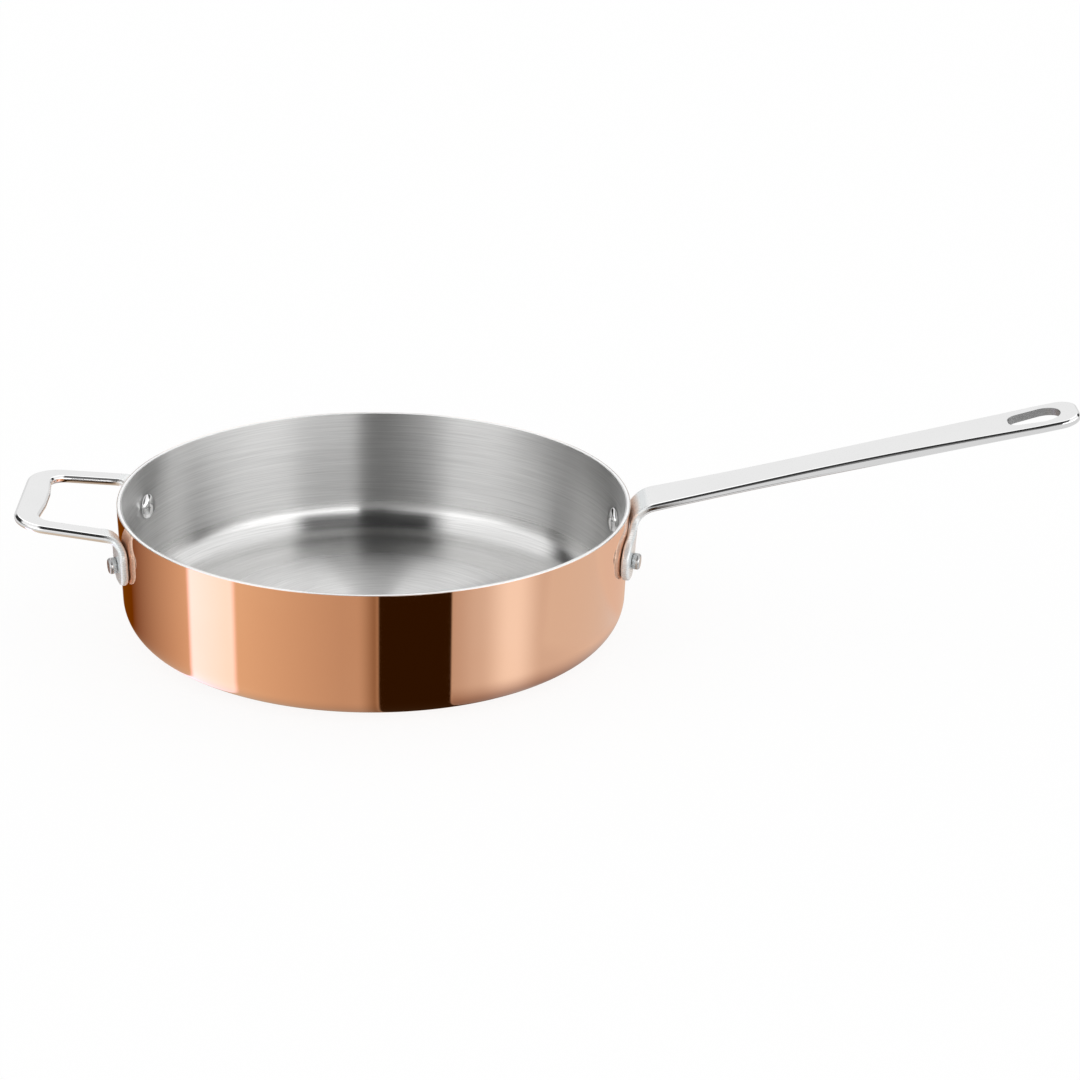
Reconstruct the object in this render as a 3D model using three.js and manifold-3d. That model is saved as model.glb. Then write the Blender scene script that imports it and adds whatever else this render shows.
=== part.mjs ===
// Copper-clad saute pan: a body pressed from three bonded sheets, a forked long handle
// and a helper loop bent from flat blanks, and the four solid rivets that hold them on.
// Millimetres, +Z up. The origin is the centre of the base underside and the long handle runs along +X.
import * as THREE from 'three';
import { mergeVertices } from 'three/addons/utils/BufferGeometryUtils.js';
import Module from 'manifold-3d';

// Body of the pan
const RIM_RADIUS = 130;
const BODY_HEIGHT = 67.8;
const WALL_DRAFT = 2.1;
const CORNER_RADIUS = 19;
const COPPER_THICKNESS = 0.3;
const CORE_THICKNESS = 1.5;
const LINER_THICKNESS = 0.4;
const BOND_LINE = 0.1;

// Clearances
const SEAT_GAP = 0.3;
const HOLE_CLEARANCE = 0.3;
const CUT_MARGIN = 0.1;

// Rivets
const RIVET_DROP = 21.5;
const RIVET_SHANK_RADIUS = 3;
const RIVET_HEAD_RADIUS = 6.8;
const RIVET_HEAD_HEIGHT = 2.4;
const RIVET_HEAD_EDGE = 0.7;
const RIVET_TAIL_RADIUS = 4.1;
const RIVET_TAIL_LENGTH = 3.8;
const RIVET_TAIL_ROUND = 1.2;

// Long handle
const LONG_RIVET_SPACING = 55.5;
const LONG_THICKNESS = 4;
const LONG_EDGE_ROUND = 1.4;
const LONG_RISE = 13.1;
const LONG_CORNER_RISE = 0.3;
const LONG_BEND_RADIUS = 10;
const LONG_LENGTH = 224.5;
const LONG_NECK_WIDTH = 28;
const LONG_WAIST_WIDTH = 23.2;
const LONG_WAIST_AT = 92;
const LONG_WAIST_POWER = 1.7;
const LONG_END_WIDTH = 30.6;
const LONG_END_ROUND = 12.5;
const LONG_SWELL = 1.2;
const LONG_SWELL_FROM = 30;
const LONG_LOBE_RADIUS = 10.2;
const LONG_SHOULDER_RISE = 2.5;
const LONG_SHOULDER_ROUND = 7;
const LONG_NOTCH_ROUND = 7;
const LONG_NOTCH_DROP = 2.5;
const LONG_NOTCH_LEAN = 1.4;
const SLOT_END_BAND = 9.2;
const SLOT_LENGTH = 26.4;
const SLOT_WIDTH = 21.4;
const SLOT_NARROW_WIDTH = 12.6;
const SLOT_WIDE_ROUND = 9.6;
const SLOT_NARROW_ROUND = 5.6;

// Helper handle
const HELPER_RIVET_SPACING = 80.8;
const HELPER_THICKNESS = 4;
const HELPER_EDGE_ROUND = 1.3;
const HELPER_RISE = 5.7;
const HELPER_CORNER_DROP = 5.9;
const HELPER_BEND_RADIUS = 4.5;
const HELPER_LENGTH = 49.2;
const HELPER_LEG_OUTSIDE = 4.9;
const HELPER_TAPER = 6.6;
const HELPER_CORNER_ROUND = 19;
const HELPER_LEG_WIDTH = 10.6;
const HELPER_GRIP_WIDTH = 11.8;
const HELPER_GRIP_BULGE = 2;
const HELPER_BULGE_WIDTH = 16;
const HELPER_BULGE_ROUND = 24;
const HELPER_INSIDE_ROUND = 8;
const HELPER_TAB_WIDTH = 20;
const HELPER_TAB_BELOW_RIVET = 10;
const HELPER_TAB_ROUND = 8;
const HELPER_FLARE_ROUND = 6;

// Fineness of the facets
const BODY_SEGMENTS = 64;
const CORNER_STEPS = 6;
const RIVET_SEGMENTS = 18;
const HOLE_SEGMENTS = 16;
const DOME_STEPS = 3;
const ARC_STEP = 18;
const EDGE_STEPS = 2;
const BEND_FACET = 4.5;
const WRAP_FACET = 12;
const STRAP_FACET = 24;
const FILLET_SHARE = 0.49;

const wasm = await Module();
wasm.setup();

const radians = THREE.MathUtils.degToRad;
const draft = radians(WALL_DRAFT);
const wallThickness = COPPER_THICKNESS + CORE_THICKNESS + LINER_THICKNESS + 2 * BOND_LINE;
const rivetHeight = BODY_HEIGHT - RIVET_DROP;
const rivetHoleRadius = RIVET_SHANK_RADIUS + HOLE_CLEARANCE;
const longRivetAngle = Math.asin(LONG_RIVET_SPACING / 2 / wallRadius(rivetHeight));
const helperRivetAngle = Math.asin(HELPER_RIVET_SPACING / 2 / wallRadius(rivetHeight));

// Outer wall radius at a height above the corner
function wallRadius(z) {
  return RIM_RADIUS - (BODY_HEIGHT - z) * Math.tan(draft);
}

// A closed mesh with only positions becomes a solid for joining and cutting
function toSolid(geometry) {
  const bare = geometry.clone();
  bare.deleteAttribute('normal');
  bare.deleteAttribute('uv');
  const merged = mergeVertices(bare);
  const index = merged.index.array;
  const triVerts = [];
  for (let i = 0; i < index.length; i += 3) {
    const [a, b, c] = [index[i], index[i + 1], index[i + 2]];
    if (a !== b && b !== c && c !== a) triVerts.push(a, b, c);
  }
  return new wasm.Manifold(new wasm.Mesh({
    numProp: 3,
    vertProperties: new Float32Array(merged.attributes.position.array),
    triVerts: new Uint32Array(triVerts),
  }));
}

// A solid back to a geometry with flat shading
function toGeometry(solid) {
  const { vertProperties, triVerts } = solid.getMesh();
  const geometry = new THREE.BufferGeometry();
  geometry.setAttribute('position', new THREE.BufferAttribute(vertProperties, 3));
  geometry.setIndex(new THREE.BufferAttribute(triVerts, 1));
  geometry.computeVertexNormals();
  return geometry;
}

// A profile of radius and height turned about Z
function turned(points, segments) {
  return new THREE.LatheGeometry(points, segments).rotateX(Math.PI / 2);
}

// The points of a polygon whose [x, y, radius] corners are rounded by arcs that their sides have room for
function rounded(corners) {
  const points = corners.map(([x, y]) => new THREE.Vector2(x, y));
  return points.flatMap((corner, i) => {
    const back = points.at(i - 1).clone().sub(corner);
    const ahead = points.at((i + 1) % points.length).clone().sub(corner);
    const half = back.angleTo(ahead) / 2;
    const room = FILLET_SHARE * Math.min(back.length(), ahead.length());
    const reach = Math.min(corners[i][2] / Math.tan(half), room);
    if (reach === 0) return [corner];
    const radius = reach * Math.tan(half);
    const towards = back.clone().normalize().add(ahead.clone().normalize());
    const centre = towards.setLength(radius / Math.sin(half)).add(corner);
    const from = back.setLength(reach).add(corner).sub(centre).angle();
    const to = ahead.setLength(reach).add(corner).sub(centre).angle();
    const turn = THREE.MathUtils.euclideanModulo(to - from + Math.PI, 2 * Math.PI) - Math.PI;
    const steps = Math.max(2, Math.ceil(Math.abs(turn) / radians(ARC_STEP)));
    return Array.from({ length: steps + 1 }, (_, step) => {
      const angle = from + turn * step / steps;
      return new THREE.Vector2(Math.cos(angle), Math.sin(angle)).multiplyScalar(radius).add(centre);
    });
  });
}

// Half an outline on the +y side, completed by its mirror image
function mirrored(half) {
  return [...half, ...half.map(([x, y, radius]) => [x, -y, radius]).reverse()];
}

// A flat blank whose z runs from 0 on the wall side to the thickness. A positive edge round takes
// its edges off; a negative one spreads them, for a cutter that leaves rounded edges behind.
function blank(points, thickness, edgeRound) {
  const round = Math.min(Math.abs(edgeRound), FILLET_SHARE * thickness);
  const spread = Math.sign(edgeRound) * round;
  const geometry = new THREE.ExtrudeGeometry(new THREE.Shape(points), {
    depth: thickness - 2 * round,
    bevelThickness: round,
    bevelSize: spread,
    bevelOffset: -spread,
    bevelSegments: EDGE_STEPS,
  });
  return geometry.translate(0, 0, round);
}

// Edges are halved until none has an excess over 1
function refined(geometry, excess) {
  let triangles = [];
  const { position } = geometry.attributes;
  for (let i = 0; i < position.count; i += 3) {
    triangles.push([0, 1, 2].map((k) => new THREE.Vector3().fromBufferAttribute(position, i + k)));
  }
  const middle = (a, b) => new THREE.Vector3().addVectors(a, b).multiplyScalar(0.5);
  for (let split = true; split;) {
    split = false;
    triangles = triangles.flatMap(([a, b, c]) => {
      const sides = [[a, b, c], [b, c, a], [c, a, b]];
      const [p, q, r] = sides.reduce((most, side) => (
        excess(side[0], side[1]) > excess(most[0], most[1]) ? side : most));
      if (excess(p, q) <= 1) return [[a, b, c]];
      split = true;
      const m = middle(p, q);
      return [[p, m, r], [m, q, r]];
    });
  }
  return new THREE.BufferGeometry().setFromPoints(triangles.flat());
}

// Every point of a blank moved to its place on the finished piece
function formed(geometry, place) {
  const position = geometry.attributes.position;
  const point = new THREE.Vector3();
  for (let i = 0; i < position.count; i += 1) {
    place(point.fromBufferAttribute(position, i));
    position.setXYZ(i, point.x, point.y, point.z);
  }
  return geometry;
}

// The rivet holes cut through whatever lies along the rivets
function drilled(solid) {
  return toGeometry(rivetPlaces.reduce((body, { matrix, flangeThickness }) => {
    const length = 2 * (wallThickness + flangeThickness + 2 * SEAT_GAP);
    const drill = new THREE.CylinderGeometry(rivetHoleRadius, rivetHoleRadius, length, HOLE_SEGMENTS);
    return body.subtract(toSolid(drill.rotateX(Math.PI / 2).applyMatrix4(matrix)));
  }, solid));
}

// The fold of a strap that leaves the wall: along runs out from the wall as the blank is developed,
// across runs round the wall and depth goes through the strap from the side that faces the wall.
// cornerAt gives the height where the strap's top would meet the wall side of its flange.
class WallFold {
  constructor({ rise, bendRadius, thickness, cornerAt }) {
    this.turn = Math.PI / 2 - radians(rise);
    this.outer = bendRadius + thickness;
    this.thickness = thickness;
    this.cornerAt = cornerAt;
    this.tangent = this.outer * Math.tan(this.turn / 2);
    this.bendLength = (bendRadius + thickness / 2) * this.turn;
  }

  // Radius of the flange's wall side at a height
  seat(z) {
    return wallRadius(z) + SEAT_GAP;
  }

  // Developed distance from the top of the flange to a height on the wall
  alongAt(z) {
    return z - (this.cornerAt(0) - this.tangent);
  }

  // Developed distance to a place on the strap at a radius from the pan's axis
  alongOut(radius) {
    const corner = this.seat(this.cornerAt(0));
    return this.bendLength - this.tangent + (radius - corner) / Math.sin(this.turn);
  }

  // Radius that a developed distance would have with the strap running straight in
  radiusAt(along) {
    const corner = this.seat(this.cornerAt(0));
    return corner + (along - this.bendLength + this.tangent) * Math.sin(this.turn);
  }

  // How far an edge of the blank is too long for the bend, for the wrap round the wall or for the strap
  excess([along, across], [alongTo, acrossTo]) {
    const run = Math.abs(alongTo - along);
    if (Math.min(along, alongTo) >= this.bendLength) return run / STRAP_FACET;
    const wrap = Math.abs(acrossTo - across) / WRAP_FACET;
    return Math.max(along, alongTo) <= 0 ? wrap : Math.max(wrap, run / BEND_FACET);
  }

  // Radius, height and share of the wall's curve at a point of the blank
  section(along, across, depth) {
    const top = this.cornerAt(across) - this.tangent;
    if (along <= 0) return { radius: this.seat(top + along) + depth, z: top + along, wrap: 1 };
    const bend = Math.min(along, this.bendLength) / this.bendLength;
    const angle = bend * this.turn;
    const arm = this.outer - depth;
    const past = Math.max(0, along - this.bendLength);
    return {
      radius: this.seat(top) + this.outer - arm * Math.cos(angle) + past * Math.sin(this.turn),
      z: top + arm * Math.sin(angle) + past * Math.cos(this.turn),
      wrap: (1 + Math.cos(bend * Math.PI)) / 2,
    };
  }

  // The same point in the plane of the fold: out from the axis, sideways and up
  place(along, across, depth) {
    const { radius, z, wrap } = this.section(along, across, depth);
    const round = this.seat(z) + this.thickness / 2;
    const angle = across / round;
    return {
      out: radius + wrap * radius * (Math.cos(angle) - 1),
      sideways: across + wrap * (radius * Math.sin(angle) - across),
      z,
    };
  }
}

// One bonded sheet of the body between two depths below the outer skin
function bodyLayer(outerDepth, innerDepth) {
  const run = (BODY_HEIGHT - CORNER_RADIUS * (1 - Math.sin(draft))) / Math.cos(draft);
  const cornerX = RIM_RADIUS - CORNER_RADIUS * Math.cos(draft) - run * Math.sin(draft);
  const side = (depth) => {
    const points = [new THREE.Vector2(0, depth)];
    for (let i = 0; i <= CORNER_STEPS; i += 1) {
      const angle = (Math.PI / 2 - draft) * i / CORNER_STEPS;
      points.push(new THREE.Vector2(
        cornerX + (CORNER_RADIUS - depth) * Math.sin(angle),
        CORNER_RADIUS - (CORNER_RADIUS - depth) * Math.cos(angle),
      ));
    }
    points.push(new THREE.Vector2(RIM_RADIUS - depth / Math.cos(draft), BODY_HEIGHT));
    return points;
  };
  const profile = [...side(outerDepth), ...side(innerDepth).reverse()];
  return drilled(toSolid(turned(profile, BODY_SEGMENTS)));
}

// A rivet along its own +Z: domed head inside the pan, z = 0 on the outer wall, set tail outside.
// The flat underside of the head stands off the hollow of the wall, so that only its edge seats.
function rivet(flangeThickness) {
  const innerRadius = wallRadius(rivetHeight) - wallThickness;
  const hollow = innerRadius - Math.sqrt(innerRadius ** 2 - RIVET_HEAD_RADIUS ** 2);
  const seat = -wallThickness - SEAT_GAP - hollow;
  const tailSeat = flangeThickness + 2 * SEAT_GAP;
  const tailEnd = tailSeat + RIVET_TAIL_LENGTH;
  const domeHeight = RIVET_HEAD_HEIGHT - RIVET_HEAD_EDGE;
  const quarter = Array.from({ length: DOME_STEPS + 1 }, (_, i) => Math.PI / 2 * i / DOME_STEPS);
  const head = quarter.map((angle) => new THREE.Vector2(
    RIVET_HEAD_RADIUS * Math.sin(angle),
    seat - RIVET_HEAD_EDGE - domeHeight * Math.cos(angle),
  ));
  const tail = quarter.map((angle) => new THREE.Vector2(
    RIVET_TAIL_RADIUS - RIVET_TAIL_ROUND * (1 - Math.cos(angle)),
    tailEnd - RIVET_TAIL_ROUND * (1 - Math.sin(angle)),
  ));
  return toGeometry(toSolid(turned([
    ...head,
    new THREE.Vector2(RIVET_HEAD_RADIUS, seat),
    new THREE.Vector2(RIVET_SHANK_RADIUS, seat),
    new THREE.Vector2(RIVET_SHANK_RADIUS, tailSeat),
    new THREE.Vector2(RIVET_TAIL_RADIUS, tailSeat),
    ...tail,
    new THREE.Vector2(0, tailEnd),
  ], RIVET_SEGMENTS)));
}

// Where a rivet passes the wall: its +Z square to the drafted wall and pointing out
function rivetPlace(name, angle, flangeThickness) {
  const matrix = new THREE.Matrix4()
    .makeRotationZ(angle)
    .multiply(new THREE.Matrix4().makeTranslation(wallRadius(rivetHeight), 0, rivetHeight))
    .multiply(new THREE.Matrix4().makeRotationY(Math.PI / 2 + draft));
  return { name, matrix, flangeThickness };
}

const rivetPlaces = [
  rivetPlace('long_handle_rivet_near', -longRivetAngle, LONG_THICKNESS),
  rivetPlace('long_handle_rivet_far', longRivetAngle, LONG_THICKNESS),
  rivetPlace('helper_handle_rivet_near', Math.PI + helperRivetAngle, HELPER_THICKNESS),
  rivetPlace('helper_handle_rivet_far', Math.PI - helperRivetAngle, HELPER_THICKNESS),
];

// Long handle: a waisted strap with a hanging slot, forked into two lobes that wrap the wall
function longHandle() {
  const fold = new WallFold({
    rise: LONG_RISE,
    bendRadius: LONG_BEND_RADIUS,
    thickness: LONG_THICKNESS,
    cornerAt: () => BODY_HEIGHT + LONG_CORNER_RISE,
  });
  const flangeRound = fold.seat(rivetHeight) + LONG_THICKNESS / 2;
  const lobeAcross = longRivetAngle * flangeRound;
  const lobeAlong = fold.alongAt(rivetHeight);
  const neck = fold.bendLength;
  const end = fold.alongOut(RIM_RADIUS + LONG_LENGTH);
  const waist = fold.alongOut(RIM_RADIUS + LONG_WAIST_AT);
  const slotFar = end - SLOT_END_BAND;
  const sideTo = slotFar - SLOT_LENGTH / 2;
  const [lobeLow, lobeHigh] = [lobeAlong - LONG_LOBE_RADIUS, lobeAlong + LONG_LOBE_RADIUS];
  const [lobeIn, lobeOut] = [lobeAcross - LONG_LOBE_RADIUS, lobeAcross + LONG_LOBE_RADIUS];
  // The drawn-in side of the strap, from its neck past its waist to the widening round the slot
  const side = [];
  for (let i = 0, count = Math.ceil((sideTo - neck) / STRAP_FACET); i <= count; i += 1) {
    const along = neck + (sideTo - neck) * i / count;
    const [width, reach] = along < waist ? [LONG_NECK_WIDTH, neck - waist] : [LONG_END_WIDTH, sideTo - waist];
    const flare = ((along - waist) / reach) ** LONG_WAIST_POWER;
    side.push([along, (LONG_WAIST_WIDTH + (width - LONG_WAIST_WIDTH) * flare) / 2, 0]);
  }
  const outline = rounded(mirrored([
    [-LONG_NOTCH_DROP, lobeIn - LONG_NOTCH_LEAN, LONG_NOTCH_ROUND],
    [lobeLow, lobeIn, LONG_LOBE_RADIUS],
    [lobeLow, lobeOut, LONG_LOBE_RADIUS],
    [lobeHigh, lobeOut, LONG_LOBE_RADIUS],
    [lobeHigh + LONG_SHOULDER_RISE, LONG_NECK_WIDTH / 2, LONG_SHOULDER_ROUND],
    ...side,
    [end, LONG_END_WIDTH / 2, LONG_END_ROUND],
  ]));
  const slot = rounded(mirrored([
    [slotFar, SLOT_WIDTH / 2, SLOT_WIDE_ROUND],
    [slotFar - SLOT_LENGTH, SLOT_NARROW_WIDTH / 2, SLOT_NARROW_ROUND],
  ]));
  const excess = (a, b) => fold.excess([a.x, a.y], [b.x, b.y]);
  const swellFrom = fold.alongOut(RIM_RADIUS + LONG_SWELL_FROM);
  const place = (p) => {
    const share = THREE.MathUtils.clamp((p.x - swellFrom) / (slotFar - swellFrom), 0, 1);
    const swell = 1 + LONG_SWELL / LONG_THICKNESS * Math.sin(Math.PI * share) ** 2;
    const depth = LONG_THICKNESS / 2 + (p.z - LONG_THICKNESS / 2) * swell;
    const { out, sideways, z } = fold.place(p.x, p.y, depth);
    p.set(out, -sideways, z);
  };
  const strap = formed(refined(blank(outline, LONG_THICKNESS, LONG_EDGE_ROUND), excess), place);
  const cutter = blank(slot, LONG_THICKNESS + 2 * CUT_MARGIN, -LONG_EDGE_ROUND).translate(0, 0, -CUT_MARGIN);
  return drilled(toSolid(strap).subtract(toSolid(formed(cutter, place))));
}

// Helper handle: a loop with a grip and two legs, each folded down into a riveted tab
function helperHandle() {
  const angle = helperRivetAngle;
  const rise = Math.tan(radians(HELPER_RISE));
  const corner = BODY_HEIGHT - HELPER_CORNER_DROP;
  const legRise = Math.atan(rise * Math.cos(angle));
  const fold = new WallFold({
    rise: THREE.MathUtils.radToDeg(legRise),
    bendRadius: HELPER_BEND_RADIUS,
    thickness: HELPER_THICKNESS,
    cornerAt: (across) => corner - across * Math.sin(angle) * rise,
  });
  const radial = new THREE.Vector2(Math.cos(angle), Math.sin(angle));
  const tangent = new THREE.Vector2(-Math.sin(angle), Math.cos(angle));
  // A point of a leg or tab on the flat blank, by its developed distance and its distance round the wall
  const tab = (along, across, radius) => {
    const point = radial.clone().multiplyScalar(fold.radiusAt(along)).addScaledVector(tangent, across);
    return [point.x, point.y, radius];
  };
  const developed = (p) => {
    const flat = new THREE.Vector2(p.x, Math.abs(p.y));
    return [fold.alongOut(flat.dot(radial)), flat.dot(tangent)];
  };
  const tabLow = fold.alongAt(rivetHeight - HELPER_TAB_BELOW_RIVET);
  const halfTab = HELPER_TAB_WIDTH / 2;
  const taper = Math.tan(radians(HELPER_TAPER));
  const legOut = (x) => HELPER_RIVET_SPACING / 2 + HELPER_LEG_OUTSIDE - (x - RIM_RADIUS) * taper;
  const legIn = (x) => legOut(x) - HELPER_LEG_WIDTH;
  const gripOut = RIM_RADIUS + HELPER_LENGTH;
  const gripIn = gripOut - HELPER_GRIP_WIDTH;
  const gripMiddle = gripIn - HELPER_GRIP_BULGE;
  const flareIn = tab(fold.bendLength, -halfTab);
  const flareOut = tab(fold.bendLength, halfTab);
  const outline = rounded(mirrored([
    [gripOut, legOut(gripOut), HELPER_CORNER_ROUND],
    [flareOut[0], legOut(flareOut[0]), HELPER_FLARE_ROUND],
    tab(0, halfTab, HELPER_FLARE_ROUND),
    tab(tabLow, halfTab, HELPER_TAB_ROUND),
    tab(tabLow, -halfTab, HELPER_TAB_ROUND),
    tab(0, -halfTab, HELPER_FLARE_ROUND),
    [flareIn[0], legIn(flareIn[0]), HELPER_FLARE_ROUND],
    [gripIn, legIn(gripIn), HELPER_INSIDE_ROUND],
    [gripMiddle, HELPER_BULGE_WIDTH / 2, HELPER_BULGE_ROUND],
  ]));
  const excess = (a, b) => fold.excess(developed(a), developed(b));
  const loop = formed(refined(blank(outline, HELPER_THICKNESS, HELPER_EDGE_ROUND), excess), (p) => {
    const { out, sideways, z } = fold.place(...developed(p), p.z);
    const plan = radial.clone().multiplyScalar(out).addScaledVector(tangent, sideways);
    p.set(-plan.x, p.y < 0 ? -plan.y : plan.y, z);
  });
  return drilled(toSolid(loop));
}

const polishedSteel = { color: 0xd9dadb, roughness: 0.12, metalness: 1 };
const finishes = {
  copper_shell: { color: 0xd99a6c, roughness: 0.08, metalness: 1 },
  aluminium_core: { color: 0xcfd1d3, roughness: 0.4, metalness: 1 },
  steel_liner: { color: 0xbfc0c0, roughness: 0.35, metalness: 1 },
};

const pan = new THREE.Group();

function addPiece(name, geometry, finish = polishedSteel) {
  const mesh = new THREE.Mesh(geometry, new THREE.MeshStandardMaterial(finish));
  mesh.name = name;
  pan.add(mesh);
  return mesh;
}

let depth = 0;
for (const [name, thickness] of [
  ['copper_shell', COPPER_THICKNESS],
  ['aluminium_core', CORE_THICKNESS],
  ['steel_liner', LINER_THICKNESS],
]) {
  addPiece(name, bodyLayer(depth, depth + thickness), finishes[name]);
  depth += thickness + BOND_LINE;
}
addPiece('long_handle', longHandle());
addPiece('helper_handle', helperHandle());
for (const { name, matrix, flangeThickness } of rivetPlaces) {
  addPiece(name, rivet(flangeThickness)).applyMatrix4(matrix);
}

export default pan;
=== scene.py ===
"""Looks of the copper-clad saute pan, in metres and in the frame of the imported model."""
import math

import bmesh
import bpy
from mathutils import Matrix, Vector
from mathutils.geometry import delaunay_2d_cdt


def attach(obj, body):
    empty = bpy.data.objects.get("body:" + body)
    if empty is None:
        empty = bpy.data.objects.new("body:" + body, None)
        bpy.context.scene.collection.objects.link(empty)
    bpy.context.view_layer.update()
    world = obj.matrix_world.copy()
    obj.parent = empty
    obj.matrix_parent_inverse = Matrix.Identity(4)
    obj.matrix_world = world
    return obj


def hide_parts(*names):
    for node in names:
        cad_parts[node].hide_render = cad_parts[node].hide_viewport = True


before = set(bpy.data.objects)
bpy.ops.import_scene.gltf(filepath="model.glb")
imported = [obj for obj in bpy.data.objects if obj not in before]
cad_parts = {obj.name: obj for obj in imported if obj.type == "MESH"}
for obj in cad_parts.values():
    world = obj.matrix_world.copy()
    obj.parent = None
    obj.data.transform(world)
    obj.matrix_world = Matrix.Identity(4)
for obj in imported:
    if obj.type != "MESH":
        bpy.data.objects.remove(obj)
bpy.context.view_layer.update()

MM = 0.001

# Body of the pan
RIM_RADIUS = 130 * MM
BODY_HEIGHT = 67.8 * MM
WALL_DRAFT = math.radians(2.1)
CORNER_RADIUS = 19 * MM
COPPER_THICKNESS = 0.3 * MM
CORE_THICKNESS = 1.5 * MM
LINER_THICKNESS = 0.4 * MM
BOND_LINE = 0.1 * MM
WALL_THICKNESS = COPPER_THICKNESS + CORE_THICKNESS + LINER_THICKNESS + 2 * BOND_LINE
RIM_EDGE_ROUND = 0.12 * MM

# Rivets
SEAT_GAP = 0.3 * MM
RIVET_HEIGHT = BODY_HEIGHT - 21.5 * MM
RIVET_SHANK_RADIUS = 3 * MM
RIVET_HEAD_RADIUS = 6.8 * MM
RIVET_HEAD_HEIGHT = 3.3 * MM
RIVET_HEAD_EDGE = 0.7 * MM
RIVET_TAIL_RADIUS = 4.1 * MM
RIVET_TAIL_LENGTH = 3.8 * MM
RIVET_TAIL_ROUND = 1.2 * MM

# Long handle
LONG_RIVET_SPACING = 55.5 * MM
LONG_THICKNESS = 4 * MM
LONG_EDGE_ROUND = 1.4 * MM
LONG_RISE = math.radians(13.1)
LONG_CORNER_RISE = 0.3 * MM
LONG_BEND_RADIUS = 10 * MM
LONG_LENGTH = 224.5 * MM
LONG_NECK_WIDTH = 28 * MM
LONG_WAIST_WIDTH = 23.2 * MM
LONG_WAIST_AT = 92 * MM
LONG_WAIST_POWER = 1.7
LONG_END_WIDTH = 30.6 * MM
LONG_END_ROUND = 12.5 * MM
LONG_SWELL = 1.2 * MM
LONG_SWELL_FROM = 30 * MM
LONG_LOBE_RADIUS = 10.2 * MM
LONG_SHOULDER_RISE = 2.5 * MM
LONG_SHOULDER_ROUND = 7 * MM
LONG_NOTCH_ROUND = 7 * MM
LONG_NOTCH_DROP = 2.5 * MM
LONG_NOTCH_LEAN = 1.4 * MM
SLOT_END_BAND = 9.2 * MM
SLOT_LENGTH = 26.4 * MM
SLOT_WIDTH = 21.4 * MM
SLOT_NARROW_WIDTH = 12.6 * MM
SLOT_WIDE_ROUND = 9.6 * MM
SLOT_NARROW_ROUND = 5.6 * MM
SAWN_EDGE_ROUND = 0.3 * MM

# Helper handle
HELPER_RIVET_SPACING = 80.8 * MM
HELPER_THICKNESS = 4 * MM
HELPER_EDGE_ROUND = 1.8 * MM
HELPER_RISE = math.radians(5.7)
HELPER_CORNER_DROP = 5.9 * MM
HELPER_BEND_RADIUS = 4.5 * MM
HELPER_LENGTH = 49.2 * MM
HELPER_LEG_OUTSIDE = 4.9 * MM
HELPER_TAPER = math.radians(6.6)
HELPER_CORNER_ROUND = 19 * MM
HELPER_LEG_WIDTH = 10.6 * MM
HELPER_GRIP_WIDTH = 11.8 * MM
HELPER_GRIP_BULGE = 2 * MM
HELPER_BULGE_WIDTH = 16 * MM
HELPER_BULGE_ROUND = 24 * MM
HELPER_INSIDE_ROUND = 8 * MM
HELPER_TAB_WIDTH = 20 * MM
HELPER_TAB_BELOW_RIVET = 10 * MM
HELPER_TAB_ROUND = 8 * MM
HELPER_FLARE_ROUND = 6 * MM

# Fineness of the meshes
TURNED_SEGMENTS = 240
RIVET_SEGMENTS = 48
FILLET_POINTS = 20
DOME_STEPS = 10
ARC_STEP = math.radians(5)
OUTLINE_STEP = 2.5 * MM
EDGE_STEPS = 5
FLANGE_GRID = 2 * MM
BEND_GRID = 1 * MM
STRAP_GRID = 6 * MM
FILLET_SHARE = 0.49
RIM_HOLD = 3
CORNER_HOLD = 1.15


# Node trees

class Wire:
    """An output socket that takes part in sums, which add their own Math nodes to its tree."""

    def __init__(self, tree, socket):
        self.tree = tree
        self.socket = socket

    def math(self, operation, *others):
        sockets = dict(enumerate((self, *others)))
        return self.tree.wire("ShaderNodeMath", {"operation": operation}, sockets)

    def __add__(self, other):
        return self.math("ADD", other)

    __radd__ = __add__

    def __sub__(self, other):
        return self.math("SUBTRACT", other)

    def __rsub__(self, other):
        return self.tree.wire("ShaderNodeMath", {"operation": "SUBTRACT"}, {0: other, 1: self})

    def __mul__(self, other):
        return self.math("MULTIPLY", other)

    __rmul__ = __mul__

    def __truediv__(self, other):
        return self.math("DIVIDE", other)


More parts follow.
